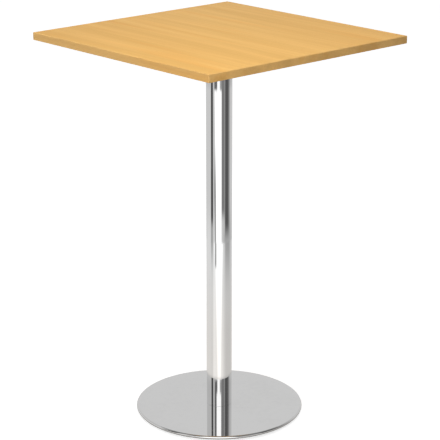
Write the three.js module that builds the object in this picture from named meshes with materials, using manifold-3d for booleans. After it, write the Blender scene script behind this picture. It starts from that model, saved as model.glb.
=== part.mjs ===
// A standing meeting table: a square edged board on a four-armed spider, a round tube column
// and a flat round foot that stands on four levelling glides.
// Millimetres, +Z up. The origin is on the floor, under the middle of the column.

import * as THREE from "three";
import { mergeVertices } from "three/addons/utils/BufferGeometryUtils.js";
import Module from "manifold-3d";

const wasm = await Module();
wasm.setup();

// Overall sizes
const tableHeight = 1150;
const topWidth = 750;
const topDepth = 750;
const topThickness = 22;
const columnDiameter = 76;
const columnWall = 2;
const baseDiameter = 500;

// Fits
const seam = 0.1; // hairline between pieces that lie on each other
const fitGap = 0.3; // clearance round what passes through, plugs in or turns
const overcut = 1; // how far a cutting shape runs past the face that it opens

// Edging on the board
const edgeThickness = 2;
const edgeRounding = 1.5;

// Spider under the board: a turned cup with folded channel arms welded round it
const hubOverhang = 16; // how far the hub stands out past the column
const hubHeight = 30;
const hubWall = 4;
const hubFloor = 6;
const hubRounding = 5;
const armCount = 4;
const armReach = 330; // from the table's middle to the tip of an arm
const armSheet = 3;
const armRootWidth = 60; // between the sides, drawn on to the table's middle
const armTipWidth = 36;
const armRootDepth = 26;
const armTipDepth = 9;

// Screws up into the board, two along each arm
const panelScrewDiameter = 4.5;
const panelScrewLength = 18;
const panelScrewPoint = 4;
const panelScrewHeadDiameter = 9;
const panelScrewHeadHeight = 3;
const panelScrewTipInset = 24; // from the tip of an arm to its outer screw
const panelScrewSpacing = 130;

// Tapped plates in the column's ends, and the bolts and screws that enter them
const plateThickness = 12;
const plateDrainDiameter = 16;
const boltCount = 4;
const boltDiameter = 8;
const boltInset = 14; // from the rim of a tapped plate to a bolt's axis
const boltEngagement = 10;
const boltHeadDiameter = 13;
const boltHeadHeight = 5;
const washerDiameter = 16;
const washerThickness = 1.6;
const countersunkHeadDiameter = 16;

// Foot: a steel disc in a sheet cover whose rim is rolled round and under it
const weightThickness = 8;
const coverThickness = 1;
const rimLip = 4; // how far the rolled rim runs in under the disc

// Levelling glides: a bush in the disc, a threaded stem with a spanner collar, and a loose pad
const glideCount = 4;
const glideInset = 38; // from the foot's rim to a glide's axis
const glideThread = 8;
const bushDiameter = 14;
const bushFlangeDiameter = 20;
const bushFlangeThickness = 2.5;
const collarAcrossFlats = 13;
const collarHeight = 2.4;
const stemFootDiameter = 12;
const stemFootThickness = 1.4;
const padDiameter = 32;
const padTopDiameter = 22;
const padHeight = 4.5;
const padFloor = 1.2;
const padEdge = 1.2; // bevel round the pad's sole

// Levels, from the floor up
const collarBottom = padHeight + fitGap;
const bushBottom = collarBottom + collarHeight + fitGap;
const weightBottom = bushBottom + bushFlangeThickness;
const weightTop = weightBottom + weightThickness;
const coverBottom = weightTop + seam;
const coverTop = coverBottom + coverThickness;
const columnBottom = coverTop + seam;
const boardBottom = tableHeight - topThickness;
const spiderTop = boardBottom - seam;
const hubBottom = spiderTop - hubHeight;
const columnTop = hubBottom - seam;

// Sizes that follow from the ones above
const columnRadius = columnDiameter / 2;
const hubRadius = columnRadius + hubOverhang;
const plateRadius = columnRadius - columnWall - fitGap;
const boltCircle = plateRadius - boltInset;
const boltHole = boltDiameter / 2 + fitGap;
const rimInnerRadius = weightThickness / 2 + seam;
const rimRadius = rimInnerRadius + coverThickness;
const rimCentre = baseDiameter / 2 - rimRadius;
const glideCircle = baseDiameter / 2 - glideInset;
const outerScrewReach = armReach - panelScrewTipInset;
const screwReaches = [outerScrewReach - panelScrewSpacing, outerScrewReach];

// Fineness of the round shapes
const wideSides = 60;
const smallSides = 14;
const arcSteps = 3; // half the facets of an arc

const finishes = {
  beech: { color: 0xe8bb78, roughness: 0.5, metalness: 0 },
  edging: { color: 0xdcae70, roughness: 0.5, metalness: 0 },
  chrome: { color: 0xd3d6d9, roughness: 0.06, metalness: 1 },
  blackCoat: { color: 0x232527, roughness: 0.6, metalness: 0.2 },
  steel: { color: 0x8f9498, roughness: 0.45, metalness: 0.9 },
  zinc: { color: 0xbfc3c6, roughness: 0.35, metalness: 0.9 },
  nylon: { color: 0x26282a, roughness: 0.7, metalness: 0 },
};

// A closed geometry as a solid that can be joined and cut
function solid(geometry) {
  const bare = geometry.clone();
  bare.deleteAttribute("normal");
  bare.deleteAttribute("uv");
  const merged = mergeVertices(bare);
  const corners = merged.index.array;
  const triangles = [];
  for (let i = 0; i < corners.length; i += 3) {
    const [a, b, c] = corners.slice(i, i + 3);
    if (a !== b && b !== c && c !== a) triangles.push(a, b, c);
  }
  const vertProperties = Float32Array.from(merged.attributes.position.array);
  const triVerts = Uint32Array.from(triangles);
  return new wasm.Manifold(new wasm.Mesh({ numProp: 3, vertProperties, triVerts }));
}

// The surface of a solid as a geometry
function surface(body) {
  const { vertProperties, triVerts } = body.getMesh();
  const geometry = new THREE.BufferGeometry();
  geometry.setAttribute("position", new THREE.BufferAttribute(vertProperties, 3));
  geometry.setIndex(new THREE.BufferAttribute(triVerts, 1));
  geometry.computeVertexNormals();
  return geometry;
}

function cut(geometry, ...tools) {
  return surface(tools.reduce((body, tool) => body.subtract(solid(tool)), solid(geometry)));
}

function join(first, second) {
  return surface(solid(first).add(solid(second)));
}

function common(first, second) {
  return surface(solid(first).intersect(solid(second)));
}

// A profile of radius against height, drawn anticlockwise
function profile(corners) {
  return new THREE.Path(corners.map(([radius, height]) => new THREE.Vector2(radius, height)));
}

function turned(path, sides) {
  return new THREE.LatheGeometry(path.getPoints(arcSteps), sides).rotateX(Math.PI / 2);
}

function rod(radius, bottom, top, sides) {
  return turned(profile([[0, bottom], [radius, bottom], [radius, top], [0, top]]), sides);
}

function tube(inner, outer, bottom, top, sides) {
  const wall = profile([[inner, bottom], [outer, bottom], [outer, top], [inner, top]]);
  return turned(wall.closePath(), sides);
}

// A plan outline raised between two levels
function raised(plan, bottom, top) {
  const options = { depth: top - bottom, bevelEnabled: false, curveSegments: 2 * arcSteps };
  return new THREE.ExtrudeGeometry(plan, options).translate(0, 0, bottom);
}

function block(from, to) {
  const box = new THREE.Box3(new THREE.Vector3(...from), new THREE.Vector3(...to));
  const size = box.getSize(new THREE.Vector3());
  return new THREE.BoxGeometry(...size).translate(...box.getCenter(new THREE.Vector3()));
}

// Places evenly round a circle, the first one half a step on from +X
function places(count, radius) {
  return Array.from({ length: count }, (_, step) => {
    const angle = ((step + 0.5) / count) * 2 * Math.PI;
    return { angle, x: radius * Math.cos(angle), y: radius * Math.sin(angle) };
  });
}

function drilled(geometry, spots, radius, bottom, top) {
  const drills = spots.map((spot) => rod(radius, bottom, top, smallSides).translate(spot.x, spot.y, 0));
  return cut(geometry, ...drills);
}

function piece(name, geometry, finish) {
  const mesh = new THREE.Mesh(geometry, new THREE.MeshStandardMaterial(finish));
  mesh.name = name;
  return mesh;
}

// Copies of one piece at a list of places, numbered from 1
function copies(name, geometry, finish, spots) {
  return spots.map((spot, index) => {
    const mesh = piece(`${name}_${index + 1}`, geometry, finish);
    mesh.position.set(spot.x, spot.y, 0);
    return mesh;
  });
}

// The finished top before it is cut up: a slab with rounded edges and corners
function topSlab() {
  const rounding = Math.min(edgeRounding, topThickness / 3);
  const corner = Math.max(edgeThickness, rounding) + seam;
  const x = topWidth / 2 - corner;
  const y = topDepth / 2 - corner;
  const plan = new THREE.Shape();
  plan.absarc(x, y, corner, 0, Math.PI / 2);
  plan.absarc(-x, y, corner, Math.PI / 2, Math.PI);
  plan.absarc(-x, -y, corner, Math.PI, 1.5 * Math.PI);
  plan.absarc(x, -y, corner, 1.5 * Math.PI, 2 * Math.PI);
  const slab = new THREE.ExtrudeGeometry(plan, {
    depth: topThickness - 2 * rounding,
    bevelThickness: rounding,
    bevelSize: rounding,
    bevelOffset: -rounding,
    bevelSegments: 3,
    curveSegments: 4,
  });
  return slab.translate(0, 0, boardBottom + rounding);
}

// The slab between two corners of its plan
function topBetween(from, to) {
  const low = [...from, boardBottom - overcut];
  const high = [...to, tableHeight + overcut];
  return common(topSlab(), block(low, high));
}

// The board inside the edging, with a pilot hole for each screw
function topBoard() {
  const x = topWidth / 2 - edgeThickness - seam;
  const y = topDepth / 2 - edgeThickness - seam;
  const spots = screwReaches.flatMap((reach) => places(armCount, reach));
  const pilotTop = boardBottom + panelScrewLength - armSheet + fitGap;
  const pilot = panelScrewDiameter / 2 + fitGap;
  return drilled(topBetween([-x, -y], [x, y]), spots, pilot, boardBottom - overcut, pilotTop);
}

// Front and back edging run the full width, and the side edging fits in between
function makeTop() {
  const group = new THREE.Group();
  const x = topWidth / 2;
  const y = topDepth / 2;
  const innerX = x - edgeThickness;
  const innerY = y - edgeThickness;
  const sideY = innerY - seam;
  const edging = {
    edge_front: topBetween([-x, -y], [x, -innerY]),
    edge_back: topBetween([-x, innerY], [x, y]),
    edge_left: topBetween([-x, -sideY], [-innerX, sideY]),
    edge_right: topBetween([innerX, -sideY], [x, sideY]),
  };
  group.add(piece("top_board", topBoard(), finishes.beech));
  for (const [name, geometry] of Object.entries(edging)) {
    group.add(piece(name, geometry, finishes.edging));
  }
  return group;
}

// A cup with a rounded foot. The bolts stand inside it, below the board.
function spiderHub() {
  const inside = hubRadius - hubWall;
  const floorTop = hubBottom + hubFloor;
  const rounding = Math.min(hubRounding, hubFloor, hubHeight / 3);
  const cup = profile([[0, hubBottom], [hubRadius - rounding, hubBottom]]);
  cup.absarc(hubRadius - rounding, hubBottom + rounding, rounding, -Math.PI / 2, 0);
  cup.lineTo(hubRadius, spiderTop);
  cup.lineTo(inside, spiderTop);
  cup.lineTo(inside, floorTop);
  cup.lineTo(0, floorTop);
  const spots = places(boltCount, boltCircle);
  return drilled(turned(cup, wideSides), spots, boltHole, hubBottom - overcut, floorTop + overcut);
}

// Plan of an arm along +X: straight tapering sides and a round tip, drawn in from its edge
function armPlan(inset) {
  const tipRadius = armTipWidth / 2 - inset;
  const tipCentre = armReach - armTipWidth / 2;
  const rootHalf = armRootWidth / 2 - inset;
  const plan = new THREE.Shape();
  plan.moveTo(0, -rootHalf);
  plan.lineTo(tipCentre, -tipRadius);
  plan.absarc(tipCentre, 0, tipRadius, -Math.PI / 2, Math.PI / 2);
  plan.lineTo(0, rootHalf);
  return plan;
}

// Side view of an arm: its lower edge sweeps up from the hub to a shallow tip
function armSide() {
  const side = new THREE.Shape();
  side.moveTo(0, spiderTop);
  side.lineTo(0, spiderTop - armRootDepth);
  side.lineTo(hubRadius, spiderTop - armRootDepth);
  side.quadraticCurveTo(
    (hubRadius + armReach) / 2,
    spiderTop - armTipDepth,
    armReach,
    spiderTop - armTipDepth,
  );
  side.lineTo(armReach, spiderTop);
  const across = Math.max(armRootWidth, armTipWidth) / 2 + overcut;
  return raised(side, -across, across).rotateX(Math.PI / 2);
}

// A channel folded from sheet, open below, cut to the hub and drilled for its screws
function spiderArm() {
  const blank = raised(armPlan(0), spiderTop - armRootDepth, spiderTop);
  const hollow = raised(armPlan(armSheet), spiderTop - armRootDepth - overcut, spiderTop - armSheet);
  const channel = common(cut(blank, hollow), armSide());
  const low = spiderTop - armRootDepth - overcut;
  const high = spiderTop + overcut;
  const hubRoom = rod(hubRadius + fitGap, low, high, wideSides);
  const spots = screwReaches.map((reach) => ({ x: reach, y: 0 }));
  return drilled(cut(channel, hubRoom), spots, panelScrewDiameter / 2 + fitGap, low, high);
}

// A pan-headed screw that points up, with its head under the sheet of an arm
function panelScrew() {
  const seat = spiderTop - armSheet - seam;
  const bottom = seat - panelScrewHeadHeight;
  const headRadius = panelScrewHeadDiameter / 2;
  const shank = panelScrewDiameter / 2;
  const crown = panelScrewHeadHeight / 2;
  const tip = seat + panelScrewLength - seam;
  const outline = profile([
    [0, bottom],
    [headRadius - crown, bottom],
    [headRadius, bottom + crown],
    [headRadius, seat],
    [shank, seat],
    [shank, tip - panelScrewPoint],
    [0, tip],
  ]);
  return turned(outline, smallSides);
}

// A cap-headed bolt that points down through its washer and the hub's floor
function hubBolt() {
  const washerTop = hubBottom + hubFloor + seam + washerThickness;
  const seat = washerTop + seam;
  const outline = profile([
    [0, columnTop - boltEngagement],
    [boltDiameter / 2, columnTop - boltEngagement],
    [boltDiameter / 2, seat],
    [boltHeadDiameter / 2, seat],
    [boltHeadDiameter / 2, seat + boltHeadHeight],
    [0, seat + boltHeadHeight],
  ]);
  return turned(outline, smallSides);
}

function hubWasher() {
  const bottom = hubBottom + hubFloor + seam;
  return tube(boltHole, washerDiameter / 2, bottom, bottom + washerThickness, smallSides);
}

function makeSpider() {
  const group = new THREE.Group();
  const boltSpots = places(boltCount, boltCircle);
  group.add(piece("spider_hub", spiderHub(), finishes.blackCoat));
  group.add(...copies("hub_washer", hubWasher(), finishes.zinc, boltSpots));
  group.add(...copies("hub_bolt", hubBolt(), finishes.zinc, boltSpots));
  const armShape = spiderArm();
  const screwShape = panelScrew();
  places(armCount, 0).forEach(({ angle }, index) => {
    const arm = new THREE.Group();
    arm.rotation.z = angle;
    arm.add(piece(`spider_arm_${index + 1}`, armShape, finishes.blackCoat));
    screwReaches.forEach((reach, along) => {
      const number = index * screwReaches.length + along + 1;
      const screw = piece(`panel_screw_${number}`, screwShape, finishes.zinc);
      screw.position.x = reach;
      arm.add(screw);
    });
    group.add(arm);
  });
  return group;
}

// A disc that plugs the tube's end, tapped for the bolts and drained in the middle
function tappedPlate(bottom) {
  const top = bottom + plateThickness;
  const disc = tube(plateDrainDiameter / 2, plateRadius, bottom, top, wideSides);
  return drilled(disc, places(boltCount, boltCircle), boltHole, bottom - overcut, top + overcut);
}

function makeColumn() {
  const group = new THREE.Group();
  const wall = tube(columnRadius - columnWall, columnRadius, columnBottom, columnTop, wideSides);
  group.add(piece("column_tube", wall, finishes.chrome));
  group.add(piece("column_head_plate", tappedPlate(columnTop - plateThickness), finishes.steel));
  group.add(piece("column_foot_plate", tappedPlate(columnBottom), finishes.steel));
  return group;
}

// One sheet: flat across the top, rolled round the disc's edge and tucked under it
function baseCover() {
  const middle = (weightBottom + weightTop) / 2;
  const sheet = profile([[0, coverBottom], [rimCentre, coverBottom]]);
  sheet.absarc(rimCentre, middle, rimInnerRadius, Math.PI / 2, -Math.PI / 2, true);
  sheet.lineTo(rimCentre - rimLip, middle - rimInnerRadius);
  sheet.lineTo(rimCentre - rimLip, middle - rimRadius);
  sheet.lineTo(rimCentre, middle - rimRadius);
  sheet.absarc(rimCentre, middle, rimRadius, -Math.PI / 2, Math.PI / 2);
  sheet.lineTo(0, coverTop);
  const spots = places(boltCount, boltCircle);
  return drilled(turned(sheet, wideSides), spots, boltHole, coverBottom - overcut, coverTop + overcut);
}

// A countersunk outline from its wide face up, opened out by a clearance
function countersunk(face, top, clearance) {
  const head = countersunkHeadDiameter / 2 + clearance;
  const shank = boltDiameter / 2 + clearance;
  const rise = head - shank;
  return [[head, face], [shank, face + rise], [shank, top], [0, top]];
}

function baseScrew() {
  const face = weightBottom + seam;
  const top = columnBottom + boltEngagement;
  return turned(profile([[0, face], ...countersunk(face, top, 0)]), smallSides);
}

// A steel disc with a round edge, countersunk for the column and bored for the glides
function baseWeight() {
  const middle = (weightBottom + weightTop) / 2;
  const disc = profile([[0, weightBottom], [rimCentre, weightBottom]]);
  disc.absarc(rimCentre, middle, weightThickness / 2, -Math.PI / 2, Math.PI / 2);
  disc.lineTo(0, weightTop);
  const low = weightBottom - overcut;
  const high = weightTop + overcut;
  const mouth = countersunkHeadDiameter / 2 + fitGap;
  const sink = profile([[0, low], [mouth, low], ...countersunk(weightBottom, high, fitGap)]);
  const sinks = places(boltCount, boltCircle).map((spot) =>
    turned(sink, smallSides).translate(spot.x, spot.y, 0),
  );
  const bored = cut(turned(disc, wideSides), ...sinks);
  return drilled(bored, places(glideCount, glideCircle), bushDiameter / 2 + fitGap, low, high);
}

function makeFoot() {
  const group = new THREE.Group();
  group.add(piece("base_cover", baseCover(), finishes.chrome));
  group.add(piece("base_weight", baseWeight(), finishes.blackCoat));
  group.add(...copies("base_screw", baseScrew(), finishes.zinc, places(boltCount, boltCircle)));
  return group;
}

// A flanged sleeve pressed into the disc from below, tapped for the stem
function glideBush() {
  const bore = glideThread / 2 + fitGap;
  const flangeTop = weightBottom - seam;
  const sleeve = profile([
    [bore, bushBottom],
    [bushFlangeDiameter / 2, bushBottom],
    [bushFlangeDiameter / 2, flangeTop],
    [bushDiameter / 2, flangeTop],
    [bushDiameter / 2, weightTop],
    [bore, weightTop],
  ]);
  return turned(sleeve.closePath(), smallSides);
}

// A stud with a disc that turns in the pad and a six-sided collar for a spanner
function glideStem() {
  const footBottom = padFloor + fitGap;
  const footTop = footBottom + stemFootThickness;
  const shank = glideThread / 2;
  const stud = profile([
    [0, footBottom],
    [stemFootDiameter / 2, footBottom],
    [stemFootDiameter / 2, footTop],
    [shank, footTop],
    [shank, weightTop - fitGap],
    [0, weightTop - fitGap],
  ]);
  const acrossCorners = collarAcrossFlats / Math.cos(Math.PI / 6);
  const collar = rod(acrossCorners / 2, collarBottom, collarBottom + collarHeight, 6);
  return join(turned(stud, smallSides), collar);
}

// A sole with a sloping shoulder, undercut inside to hold the stem's disc
function glidePad() {
  const edge = padDiameter / 2;
  const mouth = glideThread / 2 + fitGap;
  const pocket = stemFootDiameter / 2 + fitGap;
  const pocketTop = padFloor + stemFootThickness + 2 * fitGap;
  const sole = profile([
    [0, 0],
    [edge - padEdge, 0],
    [edge, padEdge],
    [edge, padHeight / 2],
    [padTopDiameter / 2, padHeight],
    [mouth, padHeight],
    [mouth, pocketTop],
    [pocket, pocketTop],
    [pocket, padFloor],
    [0, padFloor],
  ]);
  return turned(sole, smallSides);
}

function makeGlides() {
  const group = new THREE.Group();
  const spots = places(glideCount, glideCircle);
  group.add(...copies("glide_bush", glideBush(), finishes.zinc, spots));
  group.add(...copies("glide_stem", glideStem(), finishes.zinc, spots));
  group.add(...copies("glide_pad", glidePad(), finishes.nylon, spots));
  return group;
}

const table = new THREE.Group();
table.add(makeTop(), makeSpider(), makeColumn(), makeFoot(), makeGlides());

export default table;
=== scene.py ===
# Looks of the standing meeting table: beech board, chromed column and foot, and what holds them together
import math

import bmesh
import bpy
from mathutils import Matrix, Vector


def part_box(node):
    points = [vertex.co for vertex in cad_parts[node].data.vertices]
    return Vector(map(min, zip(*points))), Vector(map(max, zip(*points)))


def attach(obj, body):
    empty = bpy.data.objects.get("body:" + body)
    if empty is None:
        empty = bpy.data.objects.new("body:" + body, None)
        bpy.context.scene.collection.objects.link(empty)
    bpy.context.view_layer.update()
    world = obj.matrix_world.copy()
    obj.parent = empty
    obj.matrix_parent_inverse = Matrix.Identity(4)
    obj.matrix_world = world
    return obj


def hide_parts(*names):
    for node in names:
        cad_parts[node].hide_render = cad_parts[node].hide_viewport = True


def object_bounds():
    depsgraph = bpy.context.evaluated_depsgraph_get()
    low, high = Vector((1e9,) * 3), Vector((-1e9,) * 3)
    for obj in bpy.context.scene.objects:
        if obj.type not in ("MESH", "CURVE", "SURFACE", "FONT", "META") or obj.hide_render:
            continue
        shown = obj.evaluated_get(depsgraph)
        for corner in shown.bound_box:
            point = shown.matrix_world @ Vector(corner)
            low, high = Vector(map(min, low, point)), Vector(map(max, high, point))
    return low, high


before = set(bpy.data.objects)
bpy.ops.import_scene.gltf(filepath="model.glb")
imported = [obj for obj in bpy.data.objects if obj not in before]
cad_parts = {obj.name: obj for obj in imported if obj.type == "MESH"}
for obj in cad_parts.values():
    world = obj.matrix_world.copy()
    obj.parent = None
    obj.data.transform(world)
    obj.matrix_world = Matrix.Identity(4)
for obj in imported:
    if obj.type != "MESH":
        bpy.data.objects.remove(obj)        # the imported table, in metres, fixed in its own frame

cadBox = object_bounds()
tiny = 1e-5              # what counts as the same place when parts are picked
doubled = 1e-6           # points closer than this are one point
mergeSpan = 5e-5         # edges shorter than this are closed up before and after a cut
flatAngle = 0.1          # degrees between faces that count as one flat face
sharpAngle = 35          # degrees: steeper edges are broken, and smooth shading stops at them
upright = 0.99           # a face is level where its normal stands at least this upright
hexSides = 6


# Modelling helpers

def clearSelection():
    bpy.ops.object.select_all(action="DESELECT")


def nameNew(name):
    piece = bpy.context.object
    piece.name = name
    piece.data.name = name
    return piece


def selectOnly(piece):
    clearSelection()
    piece.select_set(True)
    bpy.context.view_layer.objects.active = piece


def startEdit(piece):
    selectOnly(piece)
    bpy.ops.object.mode_set(mode="EDIT")


def endEdit():
    bpy.ops.object.mode_set(mode="OBJECT")


# Puts an object's place, turn and size into its mesh
def settle(piece):
    selectOnly(piece)
    bpy.ops.object.transform_apply(location=True, rotation=True, scale=True)
    return piece


def pickAll():
    bpy.ops.mesh.select_all(action="SELECT")


# Selects the verts, edges or faces that pass a test, in edit mode
def pick(kind, test):
    bpy.ops.mesh.select_mode(type=kind)
    bpy.ops.mesh.select_all(action="DESELECT")
    shape = bmesh.from_edit_mesh(bpy.context.object.data)
    for part in {"VERT": shape.verts, "EDGE": shape.edges, "FACE": shape.faces}[kind]:
        if test(part):
            part.select_set(True)
    bmesh.update_edit_mesh(bpy.context.object.data)


def near(value, target):
    return abs(value - target) < tiny


# Moves a copy of what is selected and fills in between
def extrudeBy(x, y, z):
    bpy.ops.mesh.extrude_region_move(TRANSFORM_OT_translate={"value": (x, y, z)})


def roundEdges(radius, steps):
    bpy.ops.mesh.bevel(offset=radius, segments=steps)


def applyModifier(piece, kind, **settings):
    modifier = piece.modifiers.new(kind, kind)
    for key, value in settings.items():
        setattr(modifier, key, value)
    selectOnly(piece)
    bpy.ops.object.modifier_apply(modifier=modifier.name)


# Merges doubled points and turns the faces outwards
def cleanMesh(piece):
    startEdit(piece)
    pickAll()
    bpy.ops.mesh.remove_doubles(threshold=doubled)
    bpy.ops.mesh.normals_make_consistent(inside=False)
    endEdit()


# The wide faces keep their own normals, so only the broken edges shade round
def smooth(piece):
    selectOnly(piece)
    bpy.ops.object.shade_smooth_by_angle(angle=math.radians(sharpAngle))
    applyModifier(piece, "WEIGHTED_NORMAL", keep_sharp=True)


# Breaks the sharp edges and shades the rest smooth
def softenEdges(piece, width, segments=2, angle=sharpAngle):
    applyModifier(piece, "BEVEL", width=width, segments=segments, limit_method="ANGLE",
                  angle_limit=math.radians(angle))
    smooth(piece)


def addBlock(name, low, high):
    clearSelection()
    bpy.ops.mesh.primitive_cube_add(size=1, location=(low + high) / 2)
    piece = nameNew(name)
    piece.scale = high - low
    return settle(piece)


def addRod(name, axis, radius, bottom, top, sides, ends="NGON"):
    clearSelection()
    place = (axis[0], axis[1], (bottom + top) / 2)
    bpy.ops.mesh.primitive_cylinder_add(vertices=sides, radius=radius, depth=top - bottom, location=place,
                                        end_fill_type=ends)
    return settle(nameNew(name))


# An open round wall about the vertical axis
def addTube(name, radius, bottom, top, sides):
    return addRod(name, (0, 0), radius, bottom, top, sides, "NOTHING")


# A mesh of a single point, left in edit mode
def addPoint(name, radius, height):
    clearSelection()
    bpy.ops.mesh.primitive_plane_add(size=1)
    piece = nameNew(name)
    startEdit(piece)
    bpy.ops.mesh.select_mode(type="VERT")
    pickAll()
    bpy.ops.mesh.merge(type="CENTER")
    bpy.ops.transform.translate(value=(radius, 0, height))
    return piece


# Draws a profile of (radius, height) by extruding a point, and spins it round the vertical axis
def turn(name, outline, sides):
    piece = addPoint(name, *outline[0])
    for here, there in zip(outline, outline[1:]):
        extrudeBy(there[0] - here[0], 0, there[1] - here[1])
    pickAll()
    bpy.ops.mesh.spin(steps=sides, angle=2 * math.pi, center=(0, 0, 0), axis=(0, 0, 1))
    endEdit()
    cleanMesh(piece)
    return piece


# The same for a profile that doesn't reach the axis and closes on itself
def turnRing(name, outline, sides):
    return turn(name, outline + outline[:1], sides)


# Points of a round stretch of a profile, from one angle to another in degrees
def arc(centreRadius, centreHeight, radius, start, end, steps):
    points = []
    for step in range(steps + 1):
        angle = math.radians(start + (end - start) * step / steps)
        points.append((centreRadius + radius * math.cos(angle), centreHeight + radius * math.sin(angle)))
    return points


def joinAll(pieces):
    clearSelection()
    for piece in pieces:
        piece.select_set(True)
    bpy.context.view_layer.objects.active = pieces[0]
    bpy.ops.object.join()
    return pieces[0]


# Merges the short edges and the flat faces that a cut leaves, because they stop a bevel short
def flatten(piece):
    startEdit(piece)
    pickAll()
    bpy.ops.mesh.remove_doubles(threshold=mergeSpan)
    bpy.ops.mesh.dissolve_limited(angle_limit=math.radians(flatAngle))
    endEdit()


# Cuts all the cutters out of a piece
def carve(piece, cutters):
    flatten(piece)
    cutter = joinAll(cutters)
    applyModifier(piece, "BOOLEAN", operation="DIFFERENCE", solver="EXACT", object=cutter)
    bpy.data.objects.remove(cutter)
    flatten(piece)


# Joins one more solid to a piece
def unite(piece, other):
    applyModifier(piece, "BOOLEAN", operation="UNION", solver="EXACT", object=other)
    bpy.data.objects.remove(other)
    flatten(piece)


# Where the upright axis of a node stands
def axisOf(node):
    low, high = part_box(node)
    return Vector(((low.x + high.x) / 2, (low.y + high.y) / 2))


# Cuts a round hole on the axis of each node
def drill(piece, nodes, radius, bottom, top, sides):
    carve(piece, [addRod("drill", axisOf(node), radius, bottom, top, sides) for node in nodes])


# A six-sided rod on the vertical axis, by its width across the flats
def addHex(name, acrossFlats, bottom, top):
    radius = acrossFlats / 2 / math.cos(math.pi / hexSides)
    return addRod(name, (0, 0), radius, bottom, top, hexSides)


# A helical ridge on a model's shank, rooted inside it and closed at both ends.
# The root's width is a share of the pitch, and the height is a share of the thread's depth.
thread = {"steps": 24, "rootShare": 0.8, "heightShare": 1.3}


def addThread(model, size, bottom, top):
    rootWidth = thread["rootShare"] * size["pitch"]
    height = thread["heightShare"] * (size["shank"] - size["core"])
    ridge = addPoint("ridge", size["shank"] - height, bottom)
    extrudeBy(height, 0, rootWidth / 2)
    extrudeBy(-height, 0, rootWidth / 2)
    pickAll()
    bpy.ops.mesh.edge_face_add()
    bpy.ops.mesh.delete(type="ONLY_FACE")      # leaves the closed outline
    endEdit()
    turns = int((top - bottom - rootWidth) / size["pitch"])
    applyModifier(ridge, "SCREW", axis="Z", screw_offset=size["pitch"], iterations=turns,
                  steps=thread["steps"], render_steps=thread["steps"])
    startEdit(ridge)
    pickAll()
    bpy.ops.mesh.fill_holes(sides=4)      # the two open ends
    endEdit()
    cleanMesh(ridge)
    smooth(ridge)
    return joinAll([model, ridge])


def copyOf(piece, name):
    selectOnly(piece)
    bpy.ops.object.duplicate(linked=False)
    return nameNew(name)


# Gives a finished piece its material, hangs it on its body and hides the node that it stands for
def dress(piece, node, material, body="table"):
    piece.data.materials.clear()
    piece.data.materials.append(material)
    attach(piece, body)
    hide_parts(node)


# A model made on the vertical axis, at the level of its nodes, copied to each of them
def dressCopies(model, name, nodes, material, bodies=None):
    for index, node in enumerate(nodes):
        copy = copyOf(model, f"{name}_{index + 1}")
        copy.location = (*axisOf(node), 0)
        settle(copy)
        dress(copy, node, material, bodies[index] if bodies else "table")
    bpy.data.objects.remove(model)


def numbered(name, count):
    return [f"{name}_{index + 1}" for index in range(count)]


# Shader helpers

# A socket that can be used in a Python expression
class Wire:
    def __init__(self, graph, socket):
        self.graph = graph
        self.socket = socket

    def __add__(self, other):
        return self.graph.math("ADD", self, other)

    def __radd__(self, other):
        return self.graph.math("ADD", other, self)

    def __sub__(self, other):
        return self.graph.math("SUBTRACT", self, other)

    def __rsub__(self, other):
        return self.graph.math("SUBTRACT", other, self)

    def __mul__(self, other):
        return self.graph.math("MULTIPLY", self, other)

    def __rmul__(self, other):
        return self.graph.math("MULTIPLY", other, self)


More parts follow.
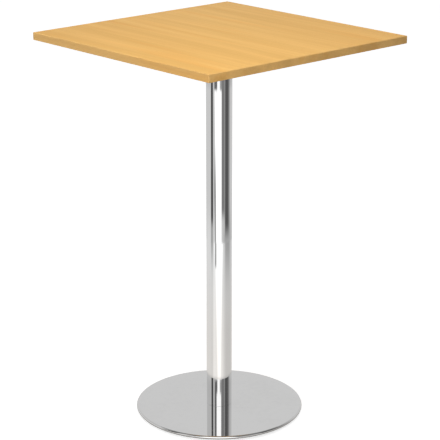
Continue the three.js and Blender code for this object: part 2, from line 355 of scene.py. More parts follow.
# The nodes of one material or of the world
class Graph:
    def __init__(self, tree):
        self.tree = tree
        tree.nodes.clear()

    def node(self, kind, settings=None, inputs=None, output=0):
        made = self.tree.nodes.new(kind)
        for key, value in (settings or {}).items():
            setattr(made, key, value)
        for key, value in (inputs or {}).items():
            self.feed(made.inputs[key], value)
        return Wire(self, made.outputs[output]) if len(made.outputs) else None

    def feed(self, socket, value):
        if isinstance(value, Wire):
            self.tree.links.new(value.socket, socket)
        elif socket.type == "RGBA":
            socket.default_value = (*value, 1)
        else:
            socket.default_value = value

    def math(self, operation, first, second):
        return self.node("ShaderNodeMath", {"operation": operation}, {0: first, 1: second})

    def place(self, scale, turn=0.0, source="Object"):
        spot = self.node("ShaderNodeTexCoord", {}, {}, source)
        inputs = {"Vector": spot, "Rotation": (0, 0, turn), "Scale": scale}
        return self.node("ShaderNodeMapping", {}, inputs)

    # Angle in degrees to the right of a heading, distance from the column's axis and height
    def around(self, heading, source="Object"):
        spot = self.place((1, 1, 1), -heading, source)
        parts = self.node("ShaderNodeSeparateXYZ", {}, {0: spot}).socket.node.outputs
        x, y, height = [Wire(self, socket) for socket in parts]
        angle = self.math("ARCTAN2", y, x) * math.degrees(1)
        return angle, self.math("POWER", x * x + y * y, 0.5), height

    # Noise by its scale on each axis, detail and harshness, stepped between two limits where it has them
    def noise(self, kind, turn=0.0):
        inputs = {"Vector": self.place(kind["scale"], turn), "Scale": 1.0, "Detail": kind["detail"],
                  "Roughness": kind["harsh"]}
        made = self.node("ShaderNodeTexNoise", {}, inputs)
        return self.ease(made, *kind["limits"]) if "limits" in kind else made

    # 0 below one value and 1 above another, with a soft step between
    def ease(self, value, low, high):
        inputs = {"Value": value, "From Min": low, "From Max": high}
        return self.node("ShaderNodeMapRange", {"interpolation_type": "SMOOTHSTEP"}, inputs)

    # The same, from the middle of the step and its width
    def step(self, value, place, width):
        return self.ease(value, place - width / 2, place + width / 2)

    def blend(self, factor, first, second, mode="MIX"):
        settings = {"data_type": "RGBA", "blend_type": mode}
        return self.node("ShaderNodeMix", settings, {0: factor, 6: first, 7: second}, 2)

    def bump(self, height, strength, distance):
        inputs = {"Height": height, "Strength": strength, "Distance": distance}
        return self.node("ShaderNodeBump", {}, inputs)

    def surface(self, inputs):
        shader = self.node("ShaderNodeBsdfPrincipled", {}, inputs)
        self.node("ShaderNodeOutputMaterial", {}, {"Surface": shader})


def newMaterial(name):
    material = bpy.data.materials.new(name)
    material.use_nodes = True
    return material, Graph(material.node_tree)


# Materials. A "bump" is its strength and its depth in metres.

# Printed beech: broad soft bands, warmer streaks, fine lines and short flecks, all along the grain
beech = {
    "light": (0.835, 0.484, 0.125),
    "dark": (0.73, 0.404, 0.097),
    "edgeLight": (0.78, 0.465, 0.150),
    "edgeDark": (0.67, 0.385, 0.118),
    "warmTint": (1.0, 0.89, 0.66),
    "fleck": (0.52, 0.25, 0.055),
    "bands": {"scale": (17, 0.9, 17), "detail": 2, "harsh": 0.45},
    "lines": {"scale": (150, 2.2, 150), "detail": 3, "harsh": 0.6},
    "bandShare": 0.62,
    "toneLimits": (0.34, 0.66),
    "streaks": {"scale": (26, 1.6, 26), "detail": 2, "harsh": 0.5, "limits": (0.50, 0.68)},
    "streakTurn": 0.02,
    "streakStrength": 0.50,
    "flecks": {"scale": (1500, 150, 1500), "detail": 1, "harsh": 0.5, "limits": (0.60, 0.72)},
    "fleckStrength": 0.35,
    "fleckDepth": 0.5,
    "pores": {"scale": (2400, 260, 2400), "detail": 2, "harsh": 0.5},
    "roughness": 0.46,
    "fleckRoughness": 0.08,
    "toneRoughness": 0.05,
    "shine": 0.35,
    "bump": (0.12, 0.00012),
}


def makeBeech(name, light, dark, turn=0.0):
    material, graph = newMaterial(name)
    bands = graph.noise(beech["bands"], turn)
    lines = graph.noise(beech["lines"], turn)
    streaks = graph.noise(beech["streaks"], turn + beech["streakTurn"])
    flecks = graph.noise(beech["flecks"], turn)
    pores = graph.noise(beech["pores"], turn)
    mixed = beech["bandShare"] * bands + (1 - beech["bandShare"]) * lines
    tone = graph.ease(mixed, *beech["toneLimits"])
    plain = graph.blend(tone, light, dark)
    grain = graph.blend(beech["streakStrength"] * streaks, plain, beech["warmTint"], "MULTIPLY")
    worn = beech["fleckRoughness"] * flecks + beech["toneRoughness"] * tone
    graph.surface({
        "Base Color": graph.blend(beech["fleckStrength"] * flecks, grain, beech["fleck"]),
        "Roughness": beech["roughness"] + worn,
        "Specular IOR Level": beech["shine"],
        "Normal": graph.bump(pores - beech["fleckDepth"] * flecks, *beech["bump"]),
    })
    return material


chromePlate = {
    "colour": (0.896, 0.895, 0.893),
    "haze": (0.846, 0.845, 0.843),
    "clouds": {"scale": (9, 9, 9), "detail": 3, "harsh": 0.55},
    "wipes": {"scale": (60, 60, 6), "detail": 2, "harsh": 0.5},
    "cloudShare": 0.6,
    "hazeLimits": (0.42, 0.70),
    "hazeStrength": 0.5,
    "roughness": 0.028,
    "hazeRoughness": 0.03,
}


def makeChrome():
    material, graph = newMaterial("chrome")
    clouds = graph.noise(chromePlate["clouds"])
    wipes = graph.noise(chromePlate["wipes"])
    mixed = chromePlate["cloudShare"] * clouds + (1 - chromePlate["cloudShare"]) * wipes
    haze = graph.ease(mixed, *chromePlate["hazeLimits"])
    dulled = chromePlate["hazeStrength"] * haze
    graph.surface({
        "Base Color": graph.blend(dulled, chromePlate["colour"], chromePlate["haze"]),
        "Metallic": 1.0,
        "Roughness": chromePlate["roughness"] + chromePlate["hazeRoughness"] * haze,
    })
    return material


powder = {
    "colour": (0.022, 0.0225, 0.023),
    "worn": (0.042, 0.043, 0.044),
    "peel": {"scale": (620, 620, 620), "detail": 2, "harsh": 0.5},
    "dust": {"scale": (35, 35, 35), "detail": 4, "harsh": 0.6},
    "wornLimits": (0.45, 0.75),
    "roughness": 0.44,
    "dustRoughness": 0.14,
    "bump": (0.25, 0.0004),
}


def makeBlackCoat():
    material, graph = newMaterial("black_coat")
    peel = graph.noise(powder["peel"])
    dust = graph.noise(powder["dust"])
    worn = graph.ease(dust, *powder["wornLimits"])
    graph.surface({
        "Base Color": graph.blend(worn, powder["colour"], powder["worn"]),
        "Roughness": powder["roughness"] + powder["dustRoughness"] * dust,
        "Normal": graph.bump(peel, *powder["bump"]),
    })
    return material


zincPlate = {
    "colour": (0.63, 0.645, 0.66),
    "tint": (0.66, 0.62, 0.52),
    "clouds": {"scale": (240, 240, 240), "detail": 2, "harsh": 0.5, "limits": (0.46, 0.72)},
    "tintStrength": 0.6,
    "grains": {"scale": (1800, 1800, 1800), "detail": 2, "harsh": 0.5},
    "roughness": 0.26,
    "grainRoughness": 0.16,
    "bump": (0.15, 0.00008),
}


def makeZinc():
    material, graph = newMaterial("zinc")
    clouds = graph.noise(zincPlate["clouds"])
    grains = graph.noise(zincPlate["grains"])
    tinted = zincPlate["tintStrength"] * clouds
    graph.surface({
        "Base Color": graph.blend(tinted, zincPlate["colour"], zincPlate["tint"]),
        "Metallic": 1.0,
        "Roughness": zincPlate["roughness"] + zincPlate["grainRoughness"] * grains,
        "Normal": graph.bump(grains, *zincPlate["bump"]),
    })
    return material


bareSteel = {
    "colour": (0.50, 0.50, 0.49),
    "stain": (0.33, 0.30, 0.27),
    "stains": {"scale": (90, 90, 90), "detail": 4, "harsh": 0.6, "limits": (0.50, 0.78)},
    "marks": {"scale": (2200, 120, 2200), "detail": 2, "harsh": 0.5},
    "roughness": 0.34,
    "markRoughness": 0.2,
    "bump": (0.2, 0.00006),
}


def makePlainSteel():
    material, graph = newMaterial("plain_steel")
    stains = graph.noise(bareSteel["stains"])
    marks = graph.noise(bareSteel["marks"])
    graph.surface({
        "Base Color": graph.blend(stains, bareSteel["colour"], bareSteel["stain"]),
        "Metallic": 1.0,
        "Roughness": bareSteel["roughness"] + bareSteel["markRoughness"] * marks,
        "Normal": graph.bump(marks, *bareSteel["bump"]),
    })
    return material


padPlastic = {
    "colour": (0.105, 0.107, 0.110),
    "scuff": (0.190, 0.190, 0.185),
    "scuffs": {"scale": (310, 310, 310), "detail": 4, "harsh": 0.65, "limits": (0.52, 0.80)},
    "mould": {"scale": (2600, 2600, 2600), "detail": 2, "harsh": 0.5},
    "roughness": 0.50,
    "scuffRoughness": 0.15,
    "bump": (0.18, 0.00008),
}


def makeNylon():
    material, graph = newMaterial("nylon")
    scuffs = graph.noise(padPlastic["scuffs"])
    mould = graph.noise(padPlastic["mould"])
    graph.surface({
        "Base Color": graph.blend(scuffs, padPlastic["colour"], padPlastic["scuff"]),
        "Roughness": padPlastic["roughness"] + padPlastic["scuffRoughness"] * scuffs,
        "Normal": graph.bump(mould, *padPlastic["bump"]),
    })
    return material


beechTop = makeBeech("beech_top", beech["light"], beech["dark"])
beechEdgeY = makeBeech("beech_edge_deep", beech["edgeLight"], beech["edgeDark"])
beechEdgeX = makeBeech("beech_edge_wide", beech["edgeLight"], beech["edgeDark"], math.pi / 2)
chrome = makeChrome()
blackCoat = makeBlackCoat()
zinc = makeZinc()
plainSteel = makePlainSteel()
nylon = makeNylon()
print("materials made")


# Board with a pilot hole for each screw
board = {"arris": 0.0002, "pilotRadius": 0.00255, "pilotSides": 24, "pilotRoom": 0.0007}
panelScrews = numbered("panel_screw", 8)


def makeBoard():
    low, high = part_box("top_board")
    piece = addBlock("decor_board", low, high)
    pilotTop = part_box(panelScrews[0])[1].z + board["pilotRoom"]
    drill(piece, panelScrews, board["pilotRadius"], low.z - tiny, pilotTop, board["pilotSides"])
    softenEdges(piece, board["arris"])
    dress(piece, "top_board", beechTop)


# Edging: flush inside, rounded on the outline of the top
edging = {"rounding": 0.0015, "steps": 6}


def makeEdging(side, material):
    low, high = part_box(f"edge_{side}")
    piece = addBlock(f"edging_{side}", low, high)
    outLow, outHigh = cadBox

    def onOutline(face):
        spot = face.calc_center_median()
        across = near(spot.x, outLow.x) or near(spot.x, outHigh.x)
        return across or near(spot.y, outLow.y) or near(spot.y, outHigh.y)

    def isOuter(edge):
        sides = [onOutline(face) for face in edge.link_faces]
        level = [abs(face.normal.z) > upright for face in edge.link_faces]
        return any(sides) and all(out or flat for out, flat in zip(sides, level))

    startEdit(piece)
    pick("EDGE", isOuter)
    roundEdges(edging["rounding"], edging["steps"])
    endEdit()
    smooth(piece)
    dress(piece, f"edge_{side}", material)


makeBoard()
for side in ("front", "back"):
    makeEdging(side, beechEdgeX)
for side in ("left", "right"):
    makeEdging(side, beechEdgeY)
print("top made")


# Column: a drawn tube with broken ends
column = {"sides": 160, "wall": 0.002, "chamfer": 0.0004}


def makeColumn():
    low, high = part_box("column_tube")
    piece = addTube("chrome_column", high.x, low.z, high.z, column["sides"])
    applyModifier(piece, "SOLIDIFY", thickness=column["wall"], offset=-1)
    softenEdges(piece, column["chamfer"])
    dress(piece, "column_tube", chrome)


# Tapped plates in the column's ends
plate = {"sides": 96, "bore": 0.008, "tapRadius": 0.0043, "tapSides": 32, "chamfer": 0.0006}
boltNodes = numbered("hub_bolt", 4)


def makePlate(node, name):
    low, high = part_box(node)
    outline = [(plate["bore"], low.z), (high.x, low.z), (high.x, high.z), (plate["bore"], high.z)]
    piece = turnRing(name, outline, plate["sides"])
    drill(piece, boltNodes, plate["tapRadius"], low.z - tiny, high.z + tiny, plate["tapSides"])
    softenEdges(piece, plate["chamfer"], 1)
    dress(piece, node, plainSteel)


makeColumn()
makePlate("column_head_plate", "head_plate")
makePlate("column_foot_plate", "foot_plate")
print("column made")


# Foot cover: flat across, rolled round the disc's edge and tucked under it
cover = {
    "sides": 192,
    "rimSteps": 10,
    "lip": 0.004,
    "sheet": 0.001,
    "flatMargin": 0.0015,
    "holeRadius": 0.0043,
    "holeSides": 32,
}
baseScrews = numbered("base_screw", 4)


def makeCover():
    low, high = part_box("base_cover")
    piece = addRod("foot_cover", (0, 0), high.x, low.z, high.z, cover["sides"])
    rimRadius = (high.z - low.z) / 2

    # the caps are the only faces with more than four corners
    def isCap(face, facing):
        return len(face.verts) > 4 and face.normal.z * facing > upright

    startEdit(piece)
    pick("EDGE", lambda edge: near(edge.verts[0].co.z, edge.verts[1].co.z))
    roundEdges(rimRadius, cover["rimSteps"])
    pick("FACE", lambda face: isCap(face, 1))
    bpy.ops.mesh.inset(thickness=cover["flatMargin"])
    pick("FACE", lambda face: isCap(face, -1))
    bpy.ops.mesh.inset(thickness=cover["lip"])
    bpy.ops.mesh.delete(type="FACE")
    endEdit()
    cleanMesh(piece)
    applyModifier(piece, "SOLIDIFY", thickness=cover["sheet"], offset=-1, use_even_offset=True)
    drill(piece, baseScrews, cover["holeRadius"], low.z, high.z + tiny, cover["holeSides"])
    smooth(piece)
    dress(piece, "base_cover", chrome)


# Steel disc in the cover, countersunk for the column and bored for the glides
disc = {
    "sides": 192,
    "edgeSteps": 8,
    "sinkRadius": 0.0083,
    "screwRadius": 0.0043,
    "boreRadius": 0.0073,
    "cutterSides": 48,
    "chamfer": 0.0003,
}
bushNodes = numbered("glide_bush", 4)


# A cutter for a screw's shank, with a head that slopes at 45 degrees
def addSink(node, bottom, level, top):
    neck = level + disc["sinkRadius"] - disc["screwRadius"]
    outline = [(0, bottom), (disc["sinkRadius"], bottom), (disc["sinkRadius"], level)]
    outline += [(disc["screwRadius"], neck), (disc["screwRadius"], top), (0, top)]
    cutter = turn("sink", outline, disc["cutterSides"])
    cutter.location = (*axisOf(node), 0)
    return settle(cutter)


def makeDisc():
    low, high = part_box("base_weight")
    half = (high.z - low.z) / 2
    edge = arc(high.x - half, low.z + half, half, -90, 90, disc["edgeSteps"])
    piece = turn("foot_disc", [(0, low.z), *edge, (0, high.z)], disc["sides"])
    bottom = low.z - half
    top = high.z + half
    cutters = [addSink(node, bottom, low.z, top) for node in baseScrews]
    for node in bushNodes:
        cutters.append(addRod("bore", axisOf(node), disc["boreRadius"], bottom, top, disc["cutterSides"]))
    carve(piece, cutters)
    softenEdges(piece, disc["chamfer"])
    dress(piece, "base_weight", blackCoat)


makeCover()
makeDisc()
print("foot made")


# Hub: a turned cup that carries the arms
hub = {
    "sides": 128,
    "wall": 0.004,
    "floor": 0.006,
    "rounding": 0.005,
    "roundSteps": 8,
    "holeRadius": 0.0043,
    "holeSides": 32,
    "arris": 0.0004,
}


def makeHub():
    low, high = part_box("spider_hub")
    inside = high.x - hub["wall"]
    floorTop = low.z + hub["floor"]
    rounding = hub["rounding"]
    foot = arc(high.x - rounding, low.z + rounding, rounding, -90, 0, hub["roundSteps"])
    outline = [(0, low.z), *foot, (high.x, high.z), (inside, high.z), (inside, floorTop), (0, floorTop)]
    piece = turn("hub_cup", outline, hub["sides"])
    drill(piece, boltNodes, hub["holeRadius"], low.z - tiny, floorTop + tiny, hub["holeSides"])
    softenEdges(piece, hub["arris"])
    dress(piece, "spider_hub", blackCoat)


# Arm: a channel folded from sheet, tapered in plan and swept up to its tip
arm = {
    "sheet": 0.003,
    "rootWidth": 0.060,
    "tipWidth": 0.036,
    "tipDepth": 0.009,
    "fold": 0.004,
    "foldSteps": 5,
    "tipSides": 48,
    "stations": 16,
    "hubRoom": 0.0003,
    "holeRadius": 0.00255,
    "holeSides": 32,
    "arris": 0.0004,
}
armNodes = numbered("spider_arm", 4)
armLow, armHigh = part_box(armNodes[0])
armDepth = armHigh.z - armLow.z
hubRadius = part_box("spider_hub")[1].x
tipRadius = arm["tipWidth"] / 2
tipCentre = (armHigh.x - tipRadius) * math.sqrt(2)      # the first arm lies on the diagonal
armReach = tipCentre + tipRadius


# How far an arm's lower edge has come up at a distance from the middle
def armRise(distance):
    along = max(0, (distance - hubRadius) / (armReach - hubRadius))
    return (armDepth - arm["tipDepth"]) * (1 - (1 - along) ** 2)


# An arm's outline along X, left in edit mode: a half round tip, and sides that widen to the hub's axis
def drawArm():
    clearSelection()
    place = (tipCentre, 0, armHigh.z)
    bpy.ops.mesh.primitive_circle_add(vertices=arm["tipSides"], radius=tipRadius, location=place)
    model = settle(nameNew("arm_model"))
    startEdit(model)
    pick("VERT", lambda vert: vert.co.x < tipCentre - tiny)
    bpy.ops.mesh.delete(type="VERT")
    pick("VERT", lambda vert: vert.co.x < tipCentre + tiny)
    extrudeBy(-tipCentre, 0, 0)
    widening = arm["rootWidth"] / arm["tipWidth"]
    bpy.ops.transform.resize(value=(1, widening, 1), center_override=(0, 0, armHigh.z))
    pick("EDGE", lambda edge: edge.calc_length() > tipRadius)
    bpy.ops.mesh.subdivide(number_cuts=arm["stations"])
    return model


# Walls that hang from the outline and sweep up to the tip, the lid over them and the fold between
def foldArm(model):
    pickAll()
    extrudeBy(0, 0, -armDepth)
    shape = bmesh.from_edit_mesh(model.data)
    stations = sorted({round(vert.co.x, 5) for vert in shape.verts})      # to a hundredth of a millimetre
    for station in stations:
        pick("VERT", lambda vert: near(vert.co.x, station) and vert.co.z < armHigh.z - tiny)
        bpy.ops.transform.translate(value=(0, 0, armRise(station)))
    pick("VERT", lambda vert: near(vert.co.z, armHigh.z))
    bpy.ops.mesh.edge_face_add()
    pickAll()
    bpy.ops.mesh.normals_make_consistent(inside=False)

    # the lid's edge, apart from its open end in the hub
    def isFold(edge):
        first, second = [vert.co for vert in edge.verts]
        return near(first.z, armHigh.z) and near(second.z, armHigh.z) and first.x + second.x > tiny

    pick("EDGE", isFold)
    roundEdges(arm["fold"], arm["foldSteps"])
    endEdit()
    applyModifier(model, "SOLIDIFY", thickness=arm["sheet"], offset=-1, use_even_offset=True)


# Cuts away the part of an arm that lies in the hub, and the holes for its two screws
def trimArm(model):
    bottom = armLow.z - tipRadius
    top = armHigh.z + tipRadius
    cutters = [addRod("hub_room", (0, 0), hubRadius + arm["hubRoom"], bottom, top, hub["sides"])]
    holeTop = armHigh.z + tiny
    for node in panelScrews[:2]:
        place = (axisOf(node).length, 0)
        cutters.append(addRod("hole", place, arm["holeRadius"], armLow.z, holeTop, arm["holeSides"]))
    carve(model, cutters)


def makeArms():
    model = drawArm()
    foldArm(model)
    trimArm(model)
    softenEdges(model, arm["arris"])
    for index, node in enumerate(armNodes):
        piece = copyOf(model, f"folded_arm_{index + 1}")
        piece.rotation_euler.z = (index + 0.5) * math.pi / 2
        settle(piece)
        dress(piece, node, blackCoat)
    bpy.data.objects.remove(model)


makeHub()
makeArms()
print("spider made")


# Screws that hold the board: pan head below with a cross recess, thread above
panScrew = {
    "sides": 40,
    "headHeight": 0.003,
    "domeInset": 0.00208,
    "domeRise": 0.000195,
    "crown": 0.0013,
    "crownLift": 0.00156,
    "crownStart": -75,
    "crownSteps": 6,
    "core": 0.0017,
    "shank": 0.00225,
    "pitch": 0.0018,
    "plain": 0.003,
    "point": 0.004,
    "recess": (0.0046, 0.0010, 0.0016),
    "arris": 0.0002,
}


def makePanScrews():
    low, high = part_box(panelScrews[0])
    headRadius = (high.x - low.x) / 2
    seat = low.z + panScrew["headHeight"]
    neck = high.z - panScrew["point"]
    crown = panScrew["crown"]
    outline = [(0, low.z), (headRadius - panScrew["domeInset"], low.z + panScrew["domeRise"])]
    outline += arc(headRadius - crown, low.z + panScrew["crownLift"], crown, panScrew["crownStart"], 0,
                   panScrew["crownSteps"])
    outline += [(headRadius, seat), (panScrew["core"], seat), (panScrew["core"], neck), (0, high.z)]
    model = turn("screw_model", outline, panScrew["sides"])
    softenEdges(model, panScrew["arris"])
    length, width, depth = panScrew["recess"]
    middle = Vector((0, 0, low.z))
    for blade in ((length, width), (width, length)):
        half = Vector((blade[0] / 2, blade[1] / 2, depth))
        carve(model, [addBlock("blade", middle - half, middle + half)])
    smooth(model)
    model = addThread(model, panScrew, seat + panScrew["plain"], high.z - panScrew["point"] / 2)
    dressCopies(model, "pan_screw", panelScrews, zinc)


# Cap bolts through the hub's floor, each on its washer
capBolt = {
    "sides": 48,
    "headHeight": 0.005,
    "core": 0.0034,
    "shank": 0.004,
    "pitch": 0.00125,
    "socketFlats": 0.006,
    "socketDepth": 0.003,
    "arris": 0.0003,
}


def makeCapBolts():
    low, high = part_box(boltNodes[0])
    seat = high.z - capBolt["headHeight"]
    headRadius = (high.x - low.x) / 2
    outline = [(0, low.z), (capBolt["core"], low.z), (capBolt["core"], seat)]
    outline += [(headRadius, seat), (headRadius, high.z), (0, high.z)]
    model = turn("bolt_model", outline, capBolt["sides"])
    socketFloor = high.z - capBolt["socketDepth"]
    carve(model, [addHex("socket", capBolt["socketFlats"], socketFloor, high.z + tiny)])
    softenEdges(model, capBolt["arris"])
    model = addThread(model, capBolt, low.z, seat)
    dressCopies(model, "cap_bolt", boltNodes, zinc)


ring = {"sides": 48, "hole": 0.0043, "arris": 0.0002}
washerNodes = numbered("hub_washer", 4)


def makeWashers():
    low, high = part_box(washerNodes[0])
    outer = (high.x - low.x) / 2
    outline = [(ring["hole"], low.z), (outer, low.z), (outer, high.z), (ring["hole"], high.z)]
    model = turnRing("washer_model", outline, ring["sides"])
    softenEdges(model, ring["arris"])
    dressCopies(model, "washer", washerNodes, zinc)


# Countersunk screws up through the disc into the column
sunkScrew = {
    "sides": 48,
    "core": 0.0034,
    "shank": 0.004,
    "pitch": 0.00125,
    "socketFlats": 0.005,
    "socketDepth": 0.0028,
    "arris": 0.0002,
}


def makeSunkScrews():
    low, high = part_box(baseScrews[0])
    headRadius = (high.x - low.x) / 2
    core = sunkScrew["core"]
    shank = sunkScrew["shank"]
    neck = low.z + headRadius - shank      # the head slopes at 45 degrees
    outline = [(0, low.z), (headRadius, low.z), (shank, neck), (core, neck), (core, high.z), (0, high.z)]
    model = turn("sunk_model", outline, sunkScrew["sides"])
    socketEnd = low.z + sunkScrew["socketDepth"]
    carve(model, [addHex("socket", sunkScrew["socketFlats"], low.z - tiny, socketEnd)])
    softenEdges(model, sunkScrew["arris"])
    model = addThread(model, sunkScrew, neck, high.z)
    dressCopies(model, "sunk_screw", baseScrews, zinc)


makePanScrews()
makeCapBolts()
makeWashers()
makeSunkScrews()
print("fasteners made")


# Levelling glides: a bush in the disc, a stud with a spanner collar, and a pad
bush = {"sides": 64, "bore": 0.0043, "sleeve": 0.007, "flange": 0.0024, "arris": 0.0004}


def makeBushes():
    low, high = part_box(bushNodes[0])
    outer = (high.x - low.x) / 2
    step = low.z + bush["flange"]
    bore = bush["bore"]
    sleeve = bush["sleeve"]
    outline = [(bore, low.z), (outer, low.z), (outer, step), (sleeve, step)]
    outline += [(sleeve, high.z), (bore, high.z)]
    model = turnRing("bush_model", outline, bush["sides"])
    softenEdges(model, bush["arris"])
    dressCopies(model, "flanged_bush", bushNodes, zinc)


stud = {
    "sides": 48,
    "core": 0.0034,
    "shank": 0.004,
    "pitch": 0.00125,
    "footRadius": 0.006,
    "footHeight": 0.0014,
    "collarFlats": 0.013,
    "collarBottom": 0.0048,
    "collarHeight": 0.0024,
    "arris": 0.00025,
}
stemNodes = numbered("glide_stem", 4)


def makeStuds():
    low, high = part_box(stemNodes[0])
    foot = stud["footRadius"]
    footTop = low.z + stud["footHeight"]
    shank = stud["shank"]
    core = stud["core"]
    collarTop = stud["collarBottom"] + stud["collarHeight"]
    outline = [(0, low.z), (foot, low.z), (foot, footTop), (shank, footTop), (shank, collarTop)]
    outline += [(core, collarTop), (core, high.z), (0, high.z)]
    model = turn("stud_model", outline, stud["sides"])
    unite(model, addHex("collar", stud["collarFlats"], stud["collarBottom"], collarTop))
    softenEdges(model, stud["arris"])
    model = addThread(model, stud, collarTop, high.z)
    dressCopies(model, "levelling_stud", stemNodes, zinc, stemNodes)


pad = {
    "sides": 72,
    "floor": 0.0012,
    "edge": 0.0012,
    "shoulder": 0.011,
    "mouth": 0.0043,
    "pocket": 0.0063,
    "pocketHeight": 0.002,
    "rounding": 0.0005,
    "roundSteps": 3,
    "roundAngle": 25,
}
padNodes = numbered("glide_pad", 4)


def makePads():
    low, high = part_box(padNodes[0])
    outer = (high.x - low.x) / 2
    pocketFloor = pad["floor"]
    ceiling = pocketFloor + pad["pocketHeight"]
    outline = [(0, low.z), (outer - pad["edge"], low.z), (outer, low.z + pad["edge"]), (outer, high.z / 2)]
    outline += [(pad["shoulder"], high.z), (pad["mouth"], high.z), (pad["mouth"], ceiling)]
    outline += [(pad["pocket"], ceiling), (pad["pocket"], pocketFloor), (0, pocketFloor)]
    model = turn("pad_model", outline, pad["sides"])
    softenEdges(model, pad["rounding"], pad["roundSteps"], pad["roundAngle"])
    dressCopies(model, "levelling_pad", padNodes, nylon, padNodes)


makeBushes()
makeStuds()
makePads()
print("glides made")


# Camera at the photograph's angle
camera = {
    "azimuth": -42.263,
    "elevation": 17.652,
    "distance": 4.7686,
    "lens": 133.1,
    "aimHeight": 0.5978,
    "aimRight": 0.0024,
}
studioHeading = math.radians(camera["azimuth"] - 90)      # from the table to the camera


def makeCamera():
    azimuth = math.radians(camera["azimuth"])
    elevation = math.radians(camera["elevation"])
    right = Vector((math.cos(azimuth), math.sin(azimuth), 0))
    outward = Vector((math.sin(azimuth), -math.cos(azimuth), 0))
    back = outward * math.cos(elevation) + Vector((0, 0, math.sin(elevation)))
    aim = Vector((0, 0, camera["aimHeight"])) + right * camera["aimRight"]
    bpy.ops.object.camera_add(location=aim + back * camera["distance"])
    eye = bpy.context.object
    eye.rotation_euler = (-back).to_track_quat("-Z", "Y").to_euler()
    eye.data.lens = camera["lens"]
    bpy.context.scene.camera = eye


# What the chrome mirrors: a grey studio with white and dark panels painted in the glow of its floor and
# its wall, as painted light, painted shade and painted reflections.
# "angles" are in degrees to the right of the camera, and "soft" is how wide their edges blur.
# "near" and "far" are in metres out on the floor or up the wall, and "fade" is how wide they blur.
# "lean" is how many degrees each edge moves in a metre.
wholePanel = {"near": -1, "far": 9, "fade": 0.1, "lean": (0, 0)}      # where a panel doesn't say otherwise


def paintPanels(graph, grey, panels, angle, along):
    level = grey
    for own in panels.values():
        panel = {**wholePanel, **own}
        start, end = panel["angles"]
        startSoft, endSoft = panel["soft"]
        startLean, endLean = panel["lean"]
        past = graph.step(angle - startLean * along, start, startSoft)
        before = 1 - graph.step(angle - endLean * along, end, endSoft)
        above = graph.step(along, panel["near"], panel["fade"])
        below = 1 - graph.step(along, panel["far"], panel["fade"])
        level = level + past * before * above * below * (panel["grey"] - level)
    return level


# Floor: pale, white to the camera where it is lit, with the table's soft shadow
floor = {
    "size": 40,
    "colour": (0.70, 0.70, 0.70),
    "seen": 0.76,
    "mirrored": 0.745,
    "opening": (0.22, 0.235),
    "plain": (1.0, 1.0, 1.0),
    # the warm tint is painted light: warm light from the board, painted on the floor near the foot
    "warm": (1.0, 0.972, 0.938),
    "paintedBounceReach": (0.35, 1.6),
}
# The floor as the chrome sees it glows with painted light and shade: painted light in front and along the
# streak, painted shade on the right side, painted shadows of the two flags, a painted dark line, and a
# painted contact shadow round the foot.
floorPanels = {
    "right side": {"angles": (50, 140), "soft": (36, 60), "grey": 0.60},
    "front": {"angles": (-56, 30), "soft": (14, 32), "grey": 0.91},
    "left flag": {"angles": (-77, -55), "soft": (10, 10), "grey": 0.73},
    "left flag shade": {"angles": (-77, -55), "soft": (10, 10), "near": 1.50, "fade": 0.6, "grey": 0.36},
    "right flag shade": {"angles": (54, 108), "soft": (20, 36), "near": 1.35, "fade": 0.8, "grey": 0.37},
    "streak": {"angles": (-8, 10), "soft": (9, 9), "grey": 1.2, "lean": (-20, 14)},
    "line": {"angles": (-36, -25), "soft": (5, 4), "near": 1.36, "fade": 0.08, "grey": 0.26},
    "painted contact shadow": {"angles": (-400, 400), "soft": (1, 1), "far": 0.285, "fade": 0.07, "grey": 0.25},
}


def makeFloor():
    clearSelection()
    bpy.ops.mesh.primitive_plane_add(size=floor["size"])
    plane = nameNew("floor")
    material, graph = newMaterial("floor")
    seen = graph.node("ShaderNodeLightPath", {}, {}, "Is Camera Ray")
    mirrored = graph.node("ShaderNodeLightPath", {}, {}, "Is Glossy Ray")
    below = graph.node("ShaderNodeNewGeometry", {}, {}, "Backfacing")
    angle, distance, _ = graph.around(studioHeading)
    matt = graph.node("ShaderNodeBsdfDiffuse", {}, {"Color": floor["colour"]})
    lift = graph.node("ShaderNodeEmission", {}, {"Color": floor["seen"] * seen})
    lit = graph.node("ShaderNodeAddShader", {}, {0: matt, 1: lift})
    # The chrome sees the floor as a glowing image, not lit: its panels are painted light and painted
    # shade.
    level = paintPanels(graph, floor["mirrored"], floorPanels, angle, distance)
    # painted bounce light: the floor's chrome image is tinted warm near the foot, as light thrown down by
    # the board
    paintedBounce = 1 - graph.ease(distance, *floor["paintedBounceReach"])      # what the board throws down on the floor
    tint = graph.blend(paintedBounce, floor["plain"], floor["warm"])
    image = graph.node("ShaderNodeEmission", {}, {"Color": graph.blend(1.0, level, tint, "MULTIPLY")})
    shown = graph.node("ShaderNodeMixShader", {}, {0: mirrored, 1: lit, 2: image})
    underFoot = 1 - graph.ease(distance, *floor["opening"])
    opened = below + underFoot * (1 - below)      # open under the foot, so that light gets in below it
    clear = graph.node("ShaderNodeBsdfTransparent")
    both = graph.node("ShaderNodeMixShader", {}, {0: opened, 1: shown, 2: clear})
    graph.node("ShaderNodeOutputMaterial", {}, {"Surface": both})
    plane.data.materials.append(material)


# World: white to the camera, studio grey in the chrome, soft light on the rest, shaded on the right
world = {
    "camera": 1.0,
    "glossy": 0.22,
    "light": 0.42,
    "shade": 0.44,
    "shadeStart": (0, 45),
    "shadeEnd": (100, 150),
}


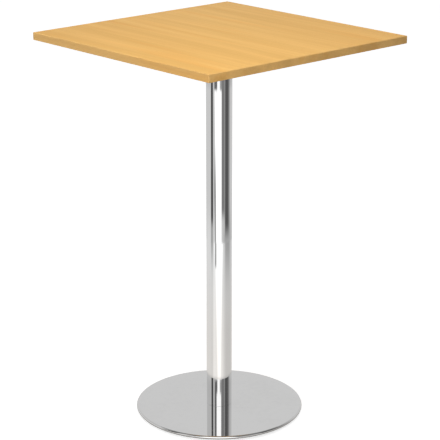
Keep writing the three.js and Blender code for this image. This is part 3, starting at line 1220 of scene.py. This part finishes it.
def makeWorld():
    surroundings = bpy.context.scene.world or bpy.data.worlds.new("studio")
    bpy.context.scene.world = surroundings
    surroundings.use_nodes = True
    graph = Graph(surroundings.node_tree)
    seen = graph.node("ShaderNodeLightPath", {}, {}, "Is Camera Ray")
    mirrored = graph.node("ShaderNodeLightPath", {}, {}, "Is Glossy Ray")
    angle = graph.around(studioHeading, "Generated")[0]
    shaded = graph.ease(angle, *world["shadeStart"]) * (1 - graph.ease(angle, *world["shadeEnd"]))
    light = world["light"] * (1 - world["shade"] * shaded)
    level = light * (1 - seen - mirrored) + world["camera"] * seen + world["glossy"] * mirrored
    sky = graph.node("ShaderNodeBackground", {}, {"Color": level})
    graph.node("ShaderNodeOutputWorld", {}, {"Surface": sky})


# Soft boxes: place, what they point at, size in metres, and how bright they make a white sheet there
softBoxes = {
    "overhead": {"place": (-0.45, -0.45, 3.55), "aim": (0, 0, 1.15), "size": 1.4, "level": 0.71},
    "corner": {"place": (-0.75, -0.75, 1.95), "aim": (-0.30, -0.30, 1.15), "size": 0.5, "level": 0.20},
    "front": {"place": (-0.95, -1.55, 1.45), "aim": (-0.20, -0.37, 1.10), "size": 0.5, "level": 0.27},
    "left": {"place": (-3.2, 0.1, 1.5), "aim": (-0.37, 0, 1.10), "size": 1.6, "level": 0.30},
}


def addSoftBox(name, place, aim, size, level):
    toAim = Vector(aim) - Vector(place)
    bpy.ops.object.light_add(type="AREA", location=place)
    lamp = bpy.context.object
    lamp.name = f"soft_box_{name}"
    lamp.rotation_euler = toAim.to_track_quat("-Z", "Y").to_euler()
    lamp.data.size = size
    lamp.data.energy = level * math.pi ** 2 * toAim.length_squared
    lamp.visible_camera = False
    lamp.visible_glossy = False


# Studio wall that only the chrome mirrors: a glowing drum round the table, painted with the reflections of
# white lights and dark flags
wall = {"radius": 1.65, "height": 1.9, "sides": 96, "grey": 0.632}
wallPanels = {
    "lower left": {"angles": (-140, -20), "soft": (60, 10), "far": 0.10, "fade": 0.20, "grey": 0.74},
    "lower right": {"angles": (38, 130), "soft": (20, 60), "far": 0.10, "fade": 0.20, "grey": 0.46},
    "upper left": {"angles": (-150, -80), "soft": (30, 4), "near": 0.63, "fade": 0.04, "grey": 0.53},
    "upper right": {"angles": (90, 150), "soft": (4, 30), "near": 0.63, "fade": 0.04, "grey": 0.53},
    "left flag foot": {"angles": (-78, -55), "soft": (6, 8), "far": 0.30, "fade": 0.02, "grey": 0.40},
    "left flag": {"angles": (-75.5, -55), "soft": (6, 8), "near": 0.08, "fade": 0.06, "grey": 0.065},
    "bar": {"angles": (-42, 27), "soft": (6, 6), "near": 0.62, "fade": 0.02, "grey": 0.15},
    "bar end": {"angles": (8, 28), "soft": (6, 4), "near": 0.62, "fade": 0.02, "grey": 0.38},
    "right screen": {"angles": (20, 47), "soft": (5, 3), "near": 0.115, "fade": 0.06, "grey": 0.21},
    "right strip": {"angles": (46, 54), "soft": (3, 3), "near": 0.10, "fade": 0.06, "grey": 0.31},
    "right flag": {"angles": (53.5, 99), "soft": (3, 42), "near": 0.035, "fade": 0.10, "grey": 0.095},
    "lower white": {"angles": (-27, 21), "soft": (6, 6), "far": 0.62, "fade": 0.02, "grey": 1.2,
                    "lean": (-22, 0)},
    "middle white": {"angles": (-16, 6), "soft": (8, 8), "near": 0.60, "far": 0.70, "fade": 0.02,
                     "grey": 1.2},
    "upper white": {"angles": (-23, 17), "soft": (7, 7), "near": 0.685, "fade": 0.03, "grey": 1.2},
    "line": {"angles": (-37, -29), "soft": (5, 5), "far": 0.30, "fade": 0.25, "grey": 0.27,
             "lean": (-30, 0)},
}


def makeWall():
    drum = addTube("studio_wall", wall["radius"], 0, wall["height"], wall["sides"])
    material, graph = newMaterial("studio_wall")
    angle, _, height = graph.around(studioHeading)
    level = paintPanels(graph, wall["grey"], wallPanels, angle, height)
    # the painted reflections glow; the drum is no lamp and lights nothing
    glow = graph.node("ShaderNodeEmission", {}, {"Color": level})
    graph.node("ShaderNodeOutputMaterial", {}, {"Surface": glow})
    drum.data.materials.append(material)
    drum.visible_camera = False
    drum.visible_diffuse = False
    drum.visible_shadow = False
    drum.visible_transmission = False


makeCamera()
makeFloor()
makeWorld()
for name, box in softBoxes.items():
    addSoftBox(name, **box)
makeWall()
bpy.context.scene.view_settings.view_transform = "Standard"
print("stage set")
